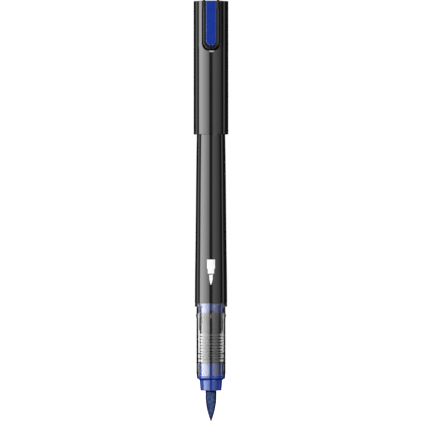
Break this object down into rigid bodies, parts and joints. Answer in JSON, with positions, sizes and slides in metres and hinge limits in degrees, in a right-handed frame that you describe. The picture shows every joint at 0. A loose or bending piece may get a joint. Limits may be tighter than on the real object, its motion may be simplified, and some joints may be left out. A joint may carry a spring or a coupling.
{
  "type": "paint marker",
  "caption": "Free-ink paint marker with a fibre brush nib, clear feed section and black barrel; its clip cap is posted on the tail and pulls off.",
  "frame": {"origin": "the nib's tip, on the pen's axis", "axes": "+Z along the pen's axis from the nib's tip to the cap's end, -Y towards the pocket clip"},
  "size_m": [0.0122, 0.0136, 0.1504],
  "materials": {
    "nib_felt": "bonded fibre, stained blue",
    "blue_translucent": "polished translucent blue",
    "clear_plastic": "polished clear",
    "feed_black": "moulded black",
    "wick_fibre": "bonded fibre",
    "paint_blue": "liquid",
    "black_gloss": "polished black",
    "inner_white": "natural moulded",
    "inlay_blue": "smooth moulded"
  },
  "bodies": {
    "pen": {"nib": "nib_felt", "nose_cone": "blue_translucent", "clear_section": "clear_plastic", "feed_comb": "feed_black", "feed_wick": "wick_fibre", "paint_charge": "paint_blue", "barrel": "black_gloss", "barrel_end_plug": "black_gloss"},
    "cap": {"cap_shell": "black_gloss", "cap_crown": "black_gloss", "inner_cap": "inner_white"},
    "clip": {"pocket_clip": "black_gloss", "clip_inlay": "inlay_blue"}
  },
  "joints": [
    {"name": "cap_slide", "type": "slide", "parent": "pen", "child": "cap", "axis": [0, 0, 1], "range_m": [0, 0.04]},
    {"name": "clip_flex", "type": "hinge", "parent": "cap", "child": "clip", "pos_m": [0, -0.00448, 0.15014], "axis": [-1, 0, 0], "range_deg": [0, 6], "stiffness_Nm_per_rad": 0.1}
  ]
}
